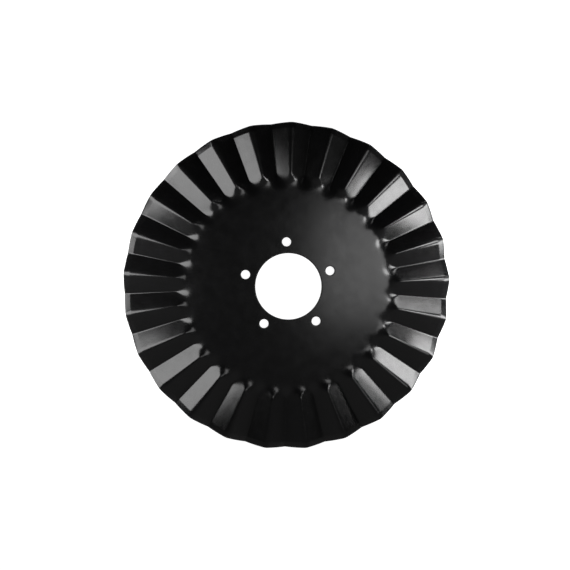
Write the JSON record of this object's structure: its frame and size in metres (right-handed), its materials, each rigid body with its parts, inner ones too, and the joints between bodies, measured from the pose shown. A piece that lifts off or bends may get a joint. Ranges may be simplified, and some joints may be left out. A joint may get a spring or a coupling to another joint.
{
  "type": "fluted coulter disc",
  "caption": "Round steel coulter blade pressed into straight radial flutes, with a bevelled rim, a flat hub, a centre bore and a ring of bolt holes.",
  "frame": {"origin": "centre of the hub bore, in the middle plane of the plate", "axes": "+Z along the axis of the disc, out of the face that the picture shows; the disc lies flat, with +Y towards the picture's top"},
  "size_m": [0.457, 0.457, 0.0188],
  "materials": {
    "black_paint": "semi-gloss black paint on pressed steel"
  },
  "bodies": {
    "root": {"fluted_disc": "black_paint"}
  },
  "joints": []
}
